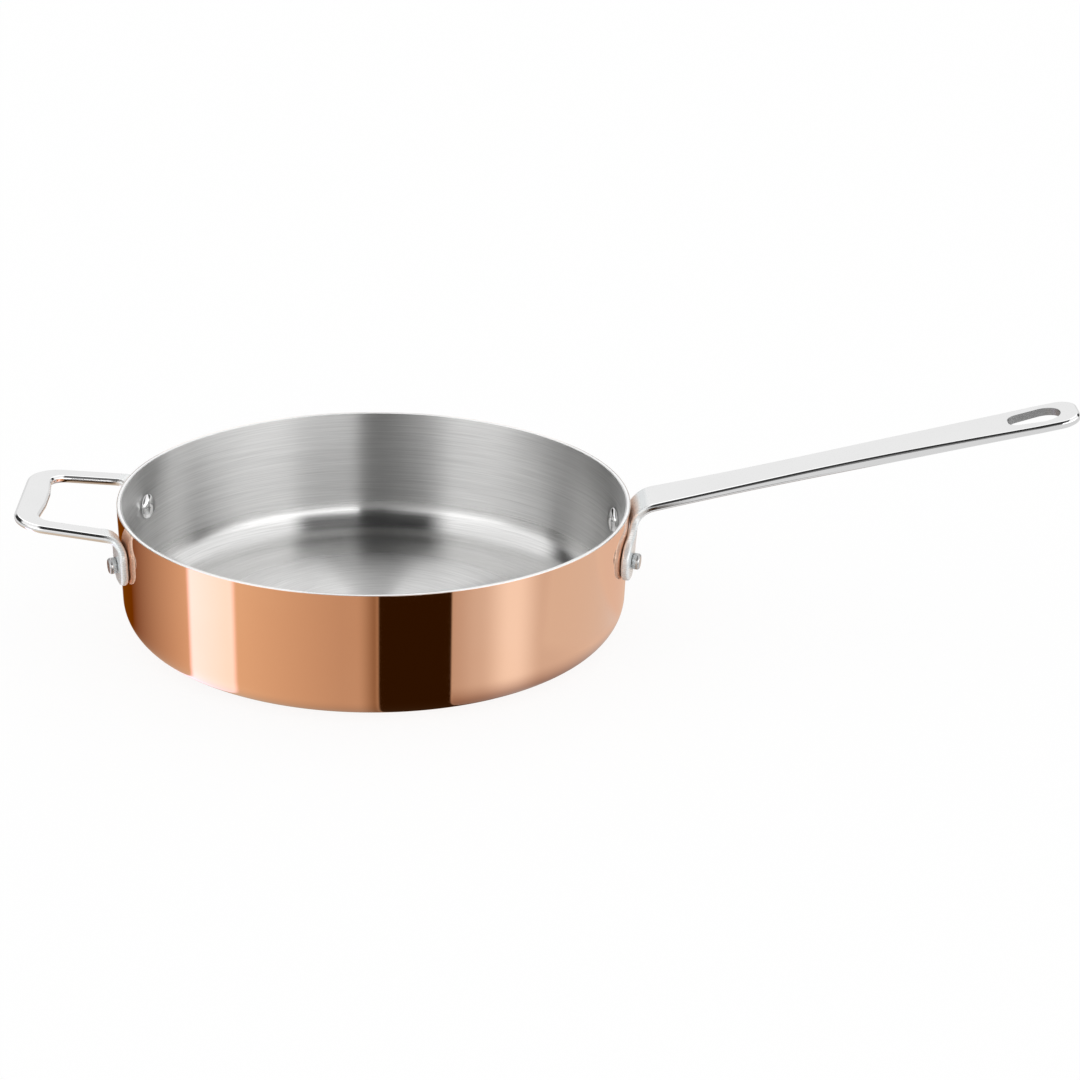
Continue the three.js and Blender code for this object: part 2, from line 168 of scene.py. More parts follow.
class Tree:
    """A node tree to which nodes are added with their settings first and their sockets next."""

    def __init__(self, tree):
        self.tree = tree

    def node(self, kind, settings=None, sockets=None):
        node = self.tree.nodes.new(kind)
        for name, value in (settings or {}).items():
            setattr(node, name, value)
        for key, value in (sockets or {}).items():
            self.put(node.inputs[key], value)
        return node

    def put(self, socket, value):
        if isinstance(value, Wire):
            self.tree.links.new(value.socket, socket)
        else:
            socket.default_value = value

    def wire(self, kind, settings=None, sockets=None, output=0):
        return Wire(self, self.node(kind, settings, sockets).outputs[output])

    def vector(self, x, y, z):
        return self.wire("ShaderNodeCombineXYZ", None, {0: x, 1: y, 2: z})

    def parts(self, vector):
        node = self.node("ShaderNodeSeparateXYZ", None, {0: vector})
        return [Wire(self, socket) for socket in node.outputs]

    def smooth(self, value, low, high):
        """0 below low, 1 above high and a soft step between them."""
        settings = {"interpolation_type": "SMOOTHSTEP"}
        return self.wire("ShaderNodeMapRange", settings, {"Value": value, "From Min": low, "From Max": high})

    def ramp(self, value, low, high, to_low, to_high):
        """A straight slope from to_low at low to to_high at high, held flat outside."""
        sockets = {"Value": value, "From Min": low, "From Max": high, "To Min": to_low, "To Max": to_high}
        return self.wire("ShaderNodeMapRange", None, sockets)

    def mixed(self, factor, first, second):
        """A colour between two colours."""
        node = self.node("ShaderNodeMix", {"data_type": "RGBA"}, {"Factor": factor})
        self.put(node.inputs[6], first)
        self.put(node.inputs[7], second)
        return Wire(self, node.outputs[2])

    def noise(self, vector, scale, detail=2.0, roughness=0.5):
        sockets = {"Vector": vector, "Scale": scale, "Detail": detail, "Roughness": roughness}
        return self.wire("ShaderNodeTexNoise", None, sockets)


def material(name, finish):
    """A material whose finish(tree, shader) sets the sockets of its one shader."""
    made = bpy.data.materials.new(name)
    made.use_nodes = True
    made.node_tree.nodes.clear()
    tree = Tree(made.node_tree)
    shader = tree.node("ShaderNodeBsdfPrincipled")
    tree.node("ShaderNodeOutputMaterial", None, {"Surface": Wire(tree, shader.outputs[0])})
    finish(tree, shader)
    return made


# Metals, with linear colours

WARM_COPPER = (0.913, 0.52, 0.33, 1)
FAIR_COPPER = (0.927, 0.54, 0.35, 1)
# Near-white copper at the top of the rim: a painted highlight, not the metal's own colour
RIM_HIGHLIGHT_COPPER = (0.93, 0.86, 0.8, 1)
RIM_HIGHLIGHT_FROM = BODY_HEIGHT - 0.15 * MM
RIM_HIGHLIGHT_TO = BODY_HEIGHT - 0.05 * MM
BRUSH_DARK = (0.67, 0.668, 0.662, 1)
BRUSH_PALE = (0.89, 0.888, 0.882, 1)
BRUSH_DEPTH = 0.02 * MM
WALL_BRIGHT_BELOW = 12 * MM
WALL_DULL_ABOVE = 24 * MM
FLOOR_DULL_WITHIN = 70 * MM
FLOOR_BRIGHT_BEYOND = 104 * MM
SATIN_STEEL = (0.82, 0.86, 0.87, 1)
SATIN_BELOW = 52 * MM
POLISHED_ABOVE = 60 * MM
SATIN_WITHIN = 134 * MM
POLISHED_BEYOND = 141 * MM
SAWN_DEPTH = 0.05 * MM
NOISE_LOW = 0.3
NOISE_HIGH = 0.7


def grey(level):
    return (level, level, level, 1)


def object_place(tree):
    return tree.wire("ShaderNodeTexCoord", None, None, "Object")


def from_axis(x, y):
    return (x * x + y * y).math("SQRT")


def polar(tree):
    """Radius, height and turn about the pan's axis at a point of a piece."""
    x, y, z = tree.parts(object_place(tree))
    return from_axis(x, y), z, x.math("ARCTAN2", y)


def spread(tree, noise, low, high):
    """A value that goes from low to high while a noise goes through most of its range."""
    return tree.ramp(noise, NOISE_LOW, NOISE_HIGH, low, high)


def bumped(tree, shader, height, strength, distance):
    normal = tree.wire("ShaderNodeBump", None, {"Strength": strength, "Distance": distance, "Height": height})
    tree.put(shader.inputs["Normal"], normal)


def polished_copper(tree, shader):
    """Mirror polish with faint buffing lines round the wall, a slight warm mottle and a pale rim edge, a
    painted highlight.
    """
    radius, height, turn = polar(tree)
    buffing = tree.noise(tree.vector(radius * 900, height * 900, turn * 3), 1.0, 3.0)
    mottle = tree.noise(object_place(tree), 14.0, 3.0)
    sheet = tree.mixed(tree.smooth(mottle, 0.35, 0.65), WARM_COPPER, FAIR_COPPER)
    # The rim's top edge is painted pale as a highlight
    ground = tree.smooth(height, RIM_HIGHLIGHT_FROM, RIM_HIGHLIGHT_TO)
    tree.put(shader.inputs["Base Color"], tree.mixed(ground, sheet, RIM_HIGHLIGHT_COPPER))
    tree.put(shader.inputs["Roughness"], spread(tree, buffing, 0.03, 0.05))
    tree.put(shader.inputs["Metallic"], 1.0)


def brushed_liner(tree, shader):
    """Satin steel brushed round the axis. Its wall and the middle of its floor are duller than its corner."""
    radius, height, turn = polar(tree)
    fine = tree.noise(tree.vector(radius * 2600, height * 2600, turn * 4), 1.0, 2.0, 0.6)
    broad = tree.noise(tree.vector(radius * 1100, height * 1100, turn * 2), 1.0, 2.0, 0.6)
    lines = spread(tree, fine * 0.6 + broad * 0.4, 0, 1)
    wall = tree.smooth(height, WALL_BRIGHT_BELOW, WALL_DULL_ABOVE)
    middle = 1 - tree.smooth(radius, FLOOR_DULL_WITHIN, FLOOR_BRIGHT_BEYOND)
    tree.put(shader.inputs["Base Color"], tree.mixed(lines, BRUSH_DARK, BRUSH_PALE))
    tree.put(shader.inputs["Roughness"], tree.ramp(lines, 0, 1, 0.18, 0.22) + wall * 0.16 + middle * 0.14)
    tree.put(shader.inputs["Metallic"], 1.0)
    tree.put(shader.inputs["Anisotropic"], 1.0)
    tree.put(shader.inputs["Anisotropic Rotation"], 0.25)
    bumped(tree, shader, lines, 0.2, BRUSH_DEPTH)


def cut_aluminium(tree, shader):
    """The sheet's ground edge at the rim."""
    radius, height, turn = polar(tree)
    lines = tree.noise(tree.vector(radius * 4000, height * 900, turn * 6), 1.0, 2.0)
    tree.put(shader.inputs["Base Color"], tree.mixed(lines, grey(0.9), grey(0.96)))
    tree.put(shader.inputs["Roughness"], spread(tree, lines, 0.2, 0.3))
    tree.put(shader.inputs["Metallic"], 1.0)


def polished_steel(tree, shader):
    """Bright polish with very fine lines along the strap, and satin tabs, lobes and bends by the wall."""
    x, y, z = tree.parts(object_place(tree))
    lines = tree.noise(tree.vector(x * 40, y * 2200, z * 2200), 1.0, 2.0, 0.6)
    smears = tree.noise(tree.vector(x * 30, y * 30, z * 30), 1.0, 3.0, 0.5)
    low = 1 - tree.smooth(z, SATIN_BELOW, POLISHED_ABOVE)
    satin = low.math("MAXIMUM", 1 - tree.smooth(from_axis(x, y), SATIN_WITHIN, POLISHED_BEYOND))
    bright = tree.mixed(smears, grey(0.85), grey(0.9))
    tree.put(shader.inputs["Base Color"], tree.mixed(satin, bright, SATIN_STEEL))
    tree.put(shader.inputs["Roughness"], spread(tree, lines * 0.7 + smears * 0.3, 0.05, 0.1) + satin * 0.2)
    tree.put(shader.inputs["Metallic"], 1 - satin * 0.75)


def sawn_steel_and_shade(tree, shader):
    """The matt wall of the hanging slot. Its dark grey is partly the cut face's own tone and partly painted
    shade in the slot.
    """
    grain = tree.noise(object_place(tree), 2500.0, 3.0, 0.7)
    # Dark grey: partly the cut steel's tone, partly painted shade inside the slot
    tree.put(shader.inputs["Base Color"], tree.mixed(grain, grey(0.16), grey(0.44)))
    tree.put(shader.inputs["Roughness"], spread(tree, grain, 0.35, 0.5))
    tree.put(shader.inputs["Metallic"], 0.6)
    bumped(tree, shader, grain, 0.3, SAWN_DEPTH)


def rivet_steel(tree, shader):
    """Polished heads inside the pan and duller set tails outside it."""
    x, y, _ = tree.parts(object_place(tree))
    smears = tree.noise(object_place(tree), 400.0, 3.0, 0.5)
    tail = tree.smooth(from_axis(x, y), RIM_RADIUS, RIM_RADIUS + 1 * MM)
    bright = tree.mixed(smears, grey(0.84), grey(0.92))
    dull = tree.mixed(smears, grey(0.5), grey(0.64))
    tree.put(shader.inputs["Base Color"], tree.mixed(tail, bright, dull))
    tree.put(shader.inputs["Roughness"], spread(tree, smears, 0.07, 0.13) + tail * 0.12)
    tree.put(shader.inputs["Metallic"], 1 - tail * 0.3)


COPPER = material("polished_copper", polished_copper)
LINER = material("brushed_liner", brushed_liner)
CORE = material("cut_aluminium", cut_aluminium)
STEEL = material("polished_steel", polished_steel)
SAWN_AND_SHADE = material("sawn_steel_and_shade", sawn_steel_and_shade)
RIVET = material("rivet_steel", rivet_steel)


# Pieces turned about an axis, by Geometry Nodes

# Radius of the circle that every profile is swept along
PATH_RADIUS = 0.1
MERGE_WITHIN = 1e-6


def geometry_tree(name, sizes):
    """A tree with one named input for each size, and the inputs as wires."""
    group = bpy.data.node_groups.new(name, "GeometryNodeTree")
    for size in sizes:
        group.interface.new_socket(size, in_out="INPUT", socket_type="NodeSocketFloat")
    group.interface.new_socket("Geometry", in_out="OUTPUT", socket_type="NodeSocketGeometry")
    tree = Tree(group)
    entry = tree.node("NodeGroupInput")
    return tree, {size: Wire(tree, entry.outputs[size]) for size in sizes}


def chosen(tree, kind, values):
    """The value whose place in the list is the index of the point."""
    switch = tree.node("GeometryNodeIndexSwitch", {"data_type": kind})
    while len(switch.index_switch_items) < len(values):
        switch.index_switch_items.new()
    tree.put(switch.inputs[0], tree.wire("GeometryNodeInputIndex"))
    for i, value in enumerate(values):
        tree.put(switch.inputs[i + 1], value)
    return Wire(tree, switch.outputs[0])


def turned(tree, corners, segments):
    """A profile of (radius, height, fillet) corners, from the axis and back to it, turned about +Z."""
    line = tree.wire("GeometryNodeCurvePrimitiveLine")
    line = tree.wire("GeometryNodeResampleCurve", None, {"Curve": line, "Count": len(corners)})
    places = chosen(tree, "VECTOR", [tree.vector(r - PATH_RADIUS, 0 - z, 0.0) for r, z, _ in corners])
    line = tree.wire("GeometryNodeSetPosition", None, {"Geometry": line, "Position": places})
    rounds = chosen(tree, "FLOAT", [fillet for *_, fillet in corners])
    sockets = {"Curve": line, "Count": FILLET_POINTS, "Radius": rounds, "Limit Radius": True}
    profile = tree.wire("GeometryNodeFilletCurve", {"mode": "POLY"}, sockets)
    circle = {"Resolution": segments, "Radius": PATH_RADIUS}
    path = tree.wire("GeometryNodeCurvePrimitiveCircle", None, circle)
    skin = tree.wire("GeometryNodeCurveToMesh", None, {"Curve": path, "Profile Curve": profile})
    return tree.wire("GeometryNodeMergeByDistance", None, {"Geometry": skin, "Distance": MERGE_WITHIN})


def finished(tree, geometry, finish):
    """The end of a tree: real geometry, smooth and in one material."""
    smooth = tree.wire("GeometryNodeSetShadeSmooth", None, {"Geometry": geometry})
    real = tree.wire("GeometryNodeRealizeInstances", None, {"Geometry": smooth})
    coated = tree.wire("GeometryNodeSetMaterial", None, {"Geometry": real, "Material": finish})
    tree.node("NodeGroupOutput", None, {"Geometry": coated})


def grown(name, tree, sizes):
    """A piece with the plain mesh that a tree makes from these sizes."""
    seed = bpy.data.objects.new(name + "_seed", bpy.data.meshes.new(name + "_seed"))
    bpy.context.scene.collection.objects.link(seed)
    modifier = seed.modifiers.new("shape", "NODES")
    modifier.node_group = tree.tree
    for item in tree.tree.interface.items_tree:
        if item.in_out == "INPUT":
            modifier[item.identifier] = sizes[item.name]
    evaluated = seed.evaluated_get(bpy.context.evaluated_depsgraph_get())
    mesh = bpy.data.meshes.new_from_object(evaluated)
    bpy.data.objects.remove(seed)
    facing_out(mesh)
    return piece(name, mesh)


def facing_out(mesh):
    work = bmesh.new()
    work.from_mesh(mesh)
    bmesh.ops.recalc_face_normals(work, faces=work.faces)
    work.to_mesh(mesh)
    work.free()


def piece(name, mesh):
    mesh.name = name
    made = bpy.data.objects.new(name, mesh)
    bpy.context.scene.collection.objects.link(made)
    return made


def sheet_tree(name, finish):
    """One bonded sheet of the body between two depths below the outer skin."""
    sizes = ["rim radius", "height", "draft", "corner radius", "outer depth", "inner depth", "edge round"]
    tree, size = geometry_tree(name, sizes)
    slope = size["draft"].math("TANGENT")
    lean = size["draft"].math("COSINE")

    def at(depth, z):
        return size["rim radius"] - (size["height"] - z) * slope - depth / lean

    def half(depth):
        hold = size["height"] - size["edge round"] * RIM_HOLD
        low = size["corner radius"] * CORNER_HOLD
        return [
            (0.0, depth, 0.0),
            (at(depth, depth), depth, size["corner radius"] - depth),
            (at(depth, low), low, 0.0),
            (at(depth, hold), hold, 0.0),
            (at(depth, size["height"]), size["height"], size["edge round"]),
        ]

    corners = half(size["outer depth"]) + half(size["inner depth"])[::-1]
    finished(tree, turned(tree, corners, TURNED_SEGMENTS), finish)
    return tree


def body_sheet(name, outer_depth, thickness, finish):
    sizes = {
        "rim radius": RIM_RADIUS,
        "height": BODY_HEIGHT,
        "draft": WALL_DRAFT,
        "corner radius": CORNER_RADIUS,
        "outer depth": outer_depth,
        "inner depth": outer_depth + thickness,
        "edge round": RIM_EDGE_ROUND,
    }
    return grown(name, sheet_tree(name + "_sheet", finish), sizes)


def wall_radius(z):
    return RIM_RADIUS - (BODY_HEIGHT - z) * math.tan(WALL_DRAFT)


def rivet_angle(spacing):
    return math.asin(spacing / 2 / wall_radius(RIVET_HEIGHT))


def rivet_tree():
    """Four solid rivets: head inside the pan, z = 0 on the outer wall, set tail outside."""
    sizes = [
        "head radius", "head height", "head edge", "shank radius", "tail radius", "tail length", "tail round",
        "head seat", "tail seat", "wall radius", "height", "lean", "long angle", "helper angle",
    ]
    tree, size = geometry_tree("riveting", sizes)
    seat = 0 - size["head seat"]
    edge = seat - size["head edge"]
    crown = size["head height"] - size["head edge"]
    end = size["tail seat"] + size["tail length"]
    quarter = [math.pi / 2 * i / DOME_STEPS for i in range(DOME_STEPS + 1)]
    dome = [(size["head radius"] * math.sin(a), edge - crown * math.cos(a), 0.0) for a in quarter]
    rivet = turned(tree, [
        *dome,
        (size["head radius"], seat, 0.0),
        (size["shank radius"], seat, 0.0),
        (size["shank radius"], size["tail seat"], 0.0),
        (size["tail radius"], size["tail seat"], 0.0),
        (size["tail radius"], end, size["tail round"]),
        (0.0, end, 0.0),
    ], RIVET_SEGMENTS)
    half_turn = math.pi
    angles = chosen(tree, "FLOAT", [
        0 - size["long angle"], size["long angle"],
        half_turn - size["helper angle"], half_turn + size["helper angle"],
    ])
    out = size["wall radius"]
    place = tree.vector(angles.math("COSINE") * out, angles.math("SINE") * out, size["height"])
    points = tree.wire("GeometryNodePoints", None, {"Count": 4, "Position": place})
    turn = tree.vector(0.0, size["lean"] + math.pi / 2, angles)
    sockets = {"Points": points, "Instance": rivet, "Rotation": turn}
    finished(tree, tree.wire("GeometryNodeInstanceOnPoints", None, sockets), RIVET)
    return tree


def riveting():
    inner = wall_radius(RIVET_HEIGHT) - WALL_THICKNESS
    hollow = inner - math.sqrt(inner ** 2 - RIVET_HEAD_RADIUS ** 2)
    return grown("riveting", rivet_tree(), {
        "head radius": RIVET_HEAD_RADIUS,
        "head height": RIVET_HEAD_HEIGHT,
        "head edge": RIVET_HEAD_EDGE,
        "shank radius": RIVET_SHANK_RADIUS,
        "tail radius": RIVET_TAIL_RADIUS,
        "tail length": RIVET_TAIL_LENGTH,
        "tail round": RIVET_TAIL_ROUND,
        "head seat": WALL_THICKNESS + SEAT_GAP + hollow,
        "tail seat": LONG_THICKNESS + 2 * SEAT_GAP,
        "wall radius": wall_radius(RIVET_HEIGHT),
        "height": RIVET_HEIGHT,
        "lean": WALL_DRAFT,
        "long angle": rivet_angle(LONG_RIVET_SPACING),
        "helper angle": rivet_angle(HELPER_RIVET_SPACING),
    })


# Handles bent from flat blanks

def rounded(corners):
    """Points of a polygon whose (x, y, radius) corners are rounded by arcs that their sides have room for."""
    places = [Vector(corner[:2]) for corner in corners]
    points = []
    for i, corner in enumerate(places):
        back = places[i - 1] - corner
        ahead = places[(i + 1) % len(places)] - corner
        half = back.angle(ahead) / 2
        reach = min(corners[i][2] / math.tan(half), FILLET_SHARE * min(back.length, ahead.length))
        if reach == 0:
            points.append(corner)
            continue
        back.normalize()
        ahead.normalize()
        radius = reach * math.tan(half)
        centre = corner + (back + ahead).normalized() * radius / math.sin(half)
        start = corner + back * reach - centre
        stop = corner + ahead * reach - centre
        first = math.atan2(start.y, start.x)
        turn = (math.atan2(stop.y, stop.x) - first + math.pi) % (2 * math.pi) - math.pi
        steps = max(2, math.ceil(abs(turn) / ARC_STEP))
        for step in range(steps + 1):
            angle = first + turn * step / steps
            points.append(centre + Vector((math.cos(angle), math.sin(angle))) * radius)
    return points


def mirrored(half):
    """Half an outline on the +y side, completed by its mirror image."""
    return half + [(x, -y, radius) for x, y, radius in reversed(half)]


def closed_pairs(items):
    return list(zip(items, items[1:] + items[:1]))


def stepped(points, anticlockwise):
    """A closed outline in the wanted sense, with no side longer than a step."""
    area = sum(a.x * b.y - b.x * a.y for a, b in closed_pairs(points))
    if (area > 0) != anticlockwise:
        points = points[::-1]
    made = []
    for a, b in closed_pairs(points):
        count = max(1, math.ceil((b - a).length / OUTLINE_STEP))
        made += [a.lerp(b, i / count) for i in range(count)]
    return made


def side_normals(points):
    """Directions that point out of the blank at the points of a stepped outline."""
    normals = []
    for i, point in enumerate(points):
        along = (point - points[i - 1]).normalized() + (points[(i + 1) % len(points)] - point).normalized()
        normals.append(Vector((along.y, -along.x)).normalized())
    return normals


def holds(loop, point):
    inside = False
    for a, b in closed_pairs(loop):
        if (a.y > point.y) != (b.y > point.y):
            inside ^= point.x < a.x + (b.x - a.x) * (point.y - a.y) / (b.y - a.y)
    return inside


class Blank:
    """A flat blank with rounded edges: points of (x, y, depth), their normals and the faces between them."""

    def __init__(self, outline, holes, thickness, edge_round, inside):
        self.points, self.normals, self.faces = [], [], []
        borders = [self.edge(stepped(hole, False), thickness, SAWN_EDGE_ROUND) for hole in holes]
        self.sawn_faces = len(self.faces)
        borders.insert(0, self.edge(stepped(outline, True), thickness, edge_round))
        self.cap([border[0] for border in borders], inside, 0.0, -1)
        self.cap([border[1] for border in borders], inside, thickness, 1)

    def edge(self, loop, thickness, edge_round):
        """The rounded wall along a loop, from the lower side to the upper one, and its two borders."""
        quarter = [math.pi / 2 * i / EDGE_STEPS for i in range(EDGE_STEPS + 1)]
        section = [(edge_round * (1 - math.sin(a)), edge_round * (1 - math.cos(a)), math.sin(a), -math.cos(a))
                   for a in quarter]
        section += [(inset, thickness - depth, out, -up) for inset, depth, out, up in reversed(section)]
        rings = [self.ring(loop, *step) for step in section]
        for low, high in zip(rings, rings[1:]):
            for (a, b), (d, c) in zip(closed_pairs(low), closed_pairs(high)):
                self.faces.append((a, b, c, d))
        return rings[0], rings[-1]

    def add(self, place, depth, normal):
        self.points.append(Vector((place.x, place.y, depth)))
        self.normals.append(Vector(normal))
        return len(self.points) - 1

    def ring(self, loop, inset, depth, out, up):
        normals = side_normals(loop)
        return [self.add(p - n * inset, depth, (n.x * out, n.y * out, up)) for p, n in zip(loop, normals)]

    def cap(self, borders, inside, depth, up):
        """Triangles between the borders, through the points that lie well inside them."""
        flat = [[self.points[i].xy for i in border] for border in borders]
        keep = [p for p in inside if holds(flat[0], p) and not any(holds(hole, p) for hole in flat[1:])]
        keep = [p for p in keep if min((p - q).length for loop in flat for q in loop) > OUTLINE_STEP / 4]
        index = [i for border in borders for i in border]
        edges, start = [], 0
        for border in borders:
            edges += [(start + i, start + (i + 1) % len(border)) for i in range(len(border))]
            start += len(border)
        index += [self.add(p, depth, (0, 0, up)) for p in keep]
        places = [self.points[i].xy for i in index]
        verts, _, faces, origins, _, _ = delaunay_2d_cdt(places, edges, [], 1, 1e-9)
        for face in faces:
            middle = sum((verts[i] for i in face), Vector((0, 0))) / 3
            if holds(flat[0], middle) and not any(holds(hole, middle) for hole in flat[1:]):
                self.faces.append([index[origins[i][0]] for i in face])

    def formed(self, name, place):
        """The piece that place(point) folds the blank into, with the normals carried along."""
        mesh = bpy.data.meshes.new(name)
        mesh.from_pydata([place(p) for p in self.points], [], self.faces)
        facing_out(mesh)
        mesh.shade_smooth()
        mesh.normals_split_custom_set_from_vertices([
            self.carried(p, n, place) for p, n in zip(self.points, self.normals)])
        mesh.materials.append(STEEL)
        if self.sawn_faces:
            mesh.materials.append(SAWN_AND_SHADE)
        for face in mesh.polygons[:self.sawn_faces]:
            face.material_index = 1
        return piece(name, mesh)

    @staticmethod
    def carried(point, normal, place):
        """A normal of the blank after folding, from how the fold moves nearby points."""
        tiny = 1e-5
        steps = [Vector((tiny, 0, 0)), Vector((0, tiny, 0)), Vector((0, 0, tiny))]
        along, across, through = [place(point + step) - place(point - step) for step in steps]
        face = along.cross(across)
        turned_normal = across.cross(through) * normal.x + through.cross(along) * normal.y + face * normal.z
        if face.dot(through) < 0:
            turned_normal.negate()
        return turned_normal.normalized()


class WallFold:
    """The fold of a strap that leaves the wall. Along runs out from the wall as the blank is developed,
    across runs round the wall and depth goes through the strap from the side that faces the wall."""

    def __init__(self, rise, bend_radius, thickness, corner_at):
        self.turn = math.pi / 2 - rise
        self.outer = bend_radius + thickness
        self.thickness = thickness
        self.corner_at = corner_at
        self.tangent = self.outer * math.tan(self.turn / 2)
        self.bend_length = (bend_radius + thickness / 2) * self.turn

    @staticmethod
    def seat(z):
        return wall_radius(z) + SEAT_GAP

    def along_at(self, z):
        return z - (self.corner_at(0) - self.tangent)

    def along_out(self, radius):
        corner = self.seat(self.corner_at(0))
        return self.bend_length - self.tangent + (radius - corner) / math.sin(self.turn)

    def radius_at(self, along):
        corner = self.seat(self.corner_at(0))
        return corner + (along - self.bend_length + self.tangent) * math.sin(self.turn)

    def section(self, along, across, depth):
        """Radius, height and share of the wall's curve at a point of the blank."""
        top = self.corner_at(across) - self.tangent
        if along <= 0:
            return self.seat(top + along) + depth, top + along, 1
        bend = min(along, self.bend_length) / self.bend_length
        arm = self.outer - depth
        past = max(0, along - self.bend_length)
        radius = self.seat(top) + self.outer - arm * math.cos(bend * self.turn) + past * math.sin(self.turn)
        z = top + arm * math.sin(bend * self.turn) + past * math.cos(self.turn)
        return radius, z, (1 + math.cos(bend * math.pi)) / 2

    def place(self, along, across, depth):
        """The same point as distances out from the axis, sideways and up."""
        radius, z, wrap = self.section(along, across, depth)
        angle = across / (self.seat(z) + self.thickness / 2)
        out = radius + wrap * radius * (math.cos(angle) - 1)
        return out, across + wrap * (radius * math.sin(angle) - across), z


def spaced(low, high, step):
    count = max(1, math.ceil((high - low) / step))
    return [low + (high - low) * i / count for i in range(count + 1)]


def long_handle():
    """A waisted strap with a hanging slot, forked into two lobes that wrap the wall."""
    corner = BODY_HEIGHT + LONG_CORNER_RISE
    fold = WallFold(LONG_RISE, LONG_BEND_RADIUS, LONG_THICKNESS, lambda across: corner)
    lobe_across = rivet_angle(LONG_RIVET_SPACING) * (fold.seat(RIVET_HEIGHT) + LONG_THICKNESS / 2)
    lobe_along = fold.along_at(RIVET_HEIGHT)
    neck = fold.bend_length
    end = fold.along_out(RIM_RADIUS + LONG_LENGTH)
    waist = fold.along_out(RIM_RADIUS + LONG_WAIST_AT)
    slot_far = end - SLOT_END_BAND
    side_to = slot_far - SLOT_LENGTH / 2
    lobe_low, lobe_high = lobe_along - LONG_LOBE_RADIUS, lobe_along + LONG_LOBE_RADIUS
    lobe_in, lobe_out = lobe_across - LONG_LOBE_RADIUS, lobe_across + LONG_LOBE_RADIUS
    side = []
    for along in spaced(neck, side_to, STRAP_GRID):
        width, reach = (LONG_NECK_WIDTH, neck - waist) if along < waist else (LONG_END_WIDTH, side_to - waist)
        flare = ((along - waist) / reach) ** LONG_WAIST_POWER
        side.append((along, (LONG_WAIST_WIDTH + (width - LONG_WAIST_WIDTH) * flare) / 2, 0))
    outline = rounded(mirrored([
        (-LONG_NOTCH_DROP, lobe_in - LONG_NOTCH_LEAN, LONG_NOTCH_ROUND),
        (lobe_low, lobe_in, LONG_LOBE_RADIUS),
        (lobe_low, lobe_out, LONG_LOBE_RADIUS),
        (lobe_high, lobe_out, LONG_LOBE_RADIUS),
        (lobe_high + LONG_SHOULDER_RISE, LONG_NECK_WIDTH / 2, LONG_SHOULDER_ROUND),
        *side,
        (end, LONG_END_WIDTH / 2, LONG_END_ROUND),
    ]))
    slot = rounded(mirrored([
        (slot_far, SLOT_WIDTH / 2, SLOT_WIDE_ROUND),
        (slot_far - SLOT_LENGTH, SLOT_NARROW_WIDTH / 2, SLOT_NARROW_ROUND),
    ]))
    flange = spaced(lobe_low, 0, FLANGE_GRID)
    bend = spaced(0, neck, BEND_GRID)
    inside = [Vector((x, y)) for x in flange[:-1] + bend for y in spaced(-lobe_out, lobe_out, FLANGE_GRID)]
    inside += [Vector((x, y)) for x in spaced(neck, end, STRAP_GRID)[1:]
               for y in spaced(-LONG_END_WIDTH / 2, LONG_END_WIDTH / 2, STRAP_GRID)]
    swell_from = fold.along_out(RIM_RADIUS + LONG_SWELL_FROM)

    def place(p):
        share = min(max((p.x - swell_from) / (slot_far - swell_from), 0), 1)
        swell = 1 + LONG_SWELL / LONG_THICKNESS * math.sin(math.pi * share) ** 2
        depth = LONG_THICKNESS / 2 + (p.z - LONG_THICKNESS / 2) * swell
        out, sideways, z = fold.place(p.x, p.y, depth)
        return Vector((out, -sideways, z))

    return Blank(outline, [slot], LONG_THICKNESS, LONG_EDGE_ROUND, inside).formed("long_strap", place)


